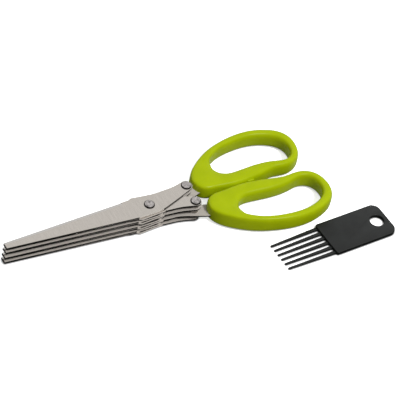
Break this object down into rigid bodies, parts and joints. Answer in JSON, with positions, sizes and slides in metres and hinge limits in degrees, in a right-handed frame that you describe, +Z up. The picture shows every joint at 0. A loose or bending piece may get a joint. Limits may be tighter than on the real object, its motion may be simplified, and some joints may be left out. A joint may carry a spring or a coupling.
{
  "type": "herb scissors",
  "caption": "Multi-blade herb scissors with stacked parallel blades riveted on one pivot, two looped handles, and a separate toothed comb that cleans between the blades.",
  "frame": {"origin": "centre of the pivot rivet's underside, on the surface that the scissors lie on", "axes": "+X along the centre line from the pivot to the handles, +Y towards the handle of half A, +Z up along the pivot"},
  "size_m": [0.2263, 0.0992, 0.0151],
  "materials": {
    "blade_steel": "satin, brushed across the blade",
    "rivet_steel": "polished",
    "spacer_steel": "turned",
    "handle_plastic": "lime green, smooth satin",
    "comb_plastic": "charcoal, satin"
  },
  "bodies": {
    "half_b": {"blade_b1": "blade_steel", "blade_b2": "blade_steel", "blade_b3": "blade_steel", "blade_b4": "blade_steel", "handle_b": "handle_plastic", "end_rivet_b": "rivet_steel", "end_spacer_b1": "spacer_steel", "end_spacer_b2": "spacer_steel", "end_spacer_b3": "spacer_steel", "pivot_rivet": "rivet_steel", "pivot_spacer_1": "spacer_steel", "pivot_spacer_2": "spacer_steel", "pivot_spacer_3": "spacer_steel"},
    "half_a": {"blade_a1": "blade_steel", "blade_a2": "blade_steel", "blade_a3": "blade_steel", "blade_a4": "blade_steel", "handle_a": "handle_plastic", "end_rivet_a": "rivet_steel", "end_spacer_a1": "spacer_steel", "end_spacer_a2": "spacer_steel", "end_spacer_a3": "spacer_steel"},
    "comb": {"cleaning_comb": "comb_plastic"}
  },
  "joints": [
    {"name": "pivot", "type": "hinge", "parent": "half_b", "child": "half_a", "pos_m": [0, 0, 0], "axis": [0, 0, 1], "range_deg": [0, 60]},
    {"name": "comb_lift", "type": "slide", "parent": "half_b", "child": "comb", "axis": [0, 0, 1], "range_m": [0, 0.03]}
  ]
}
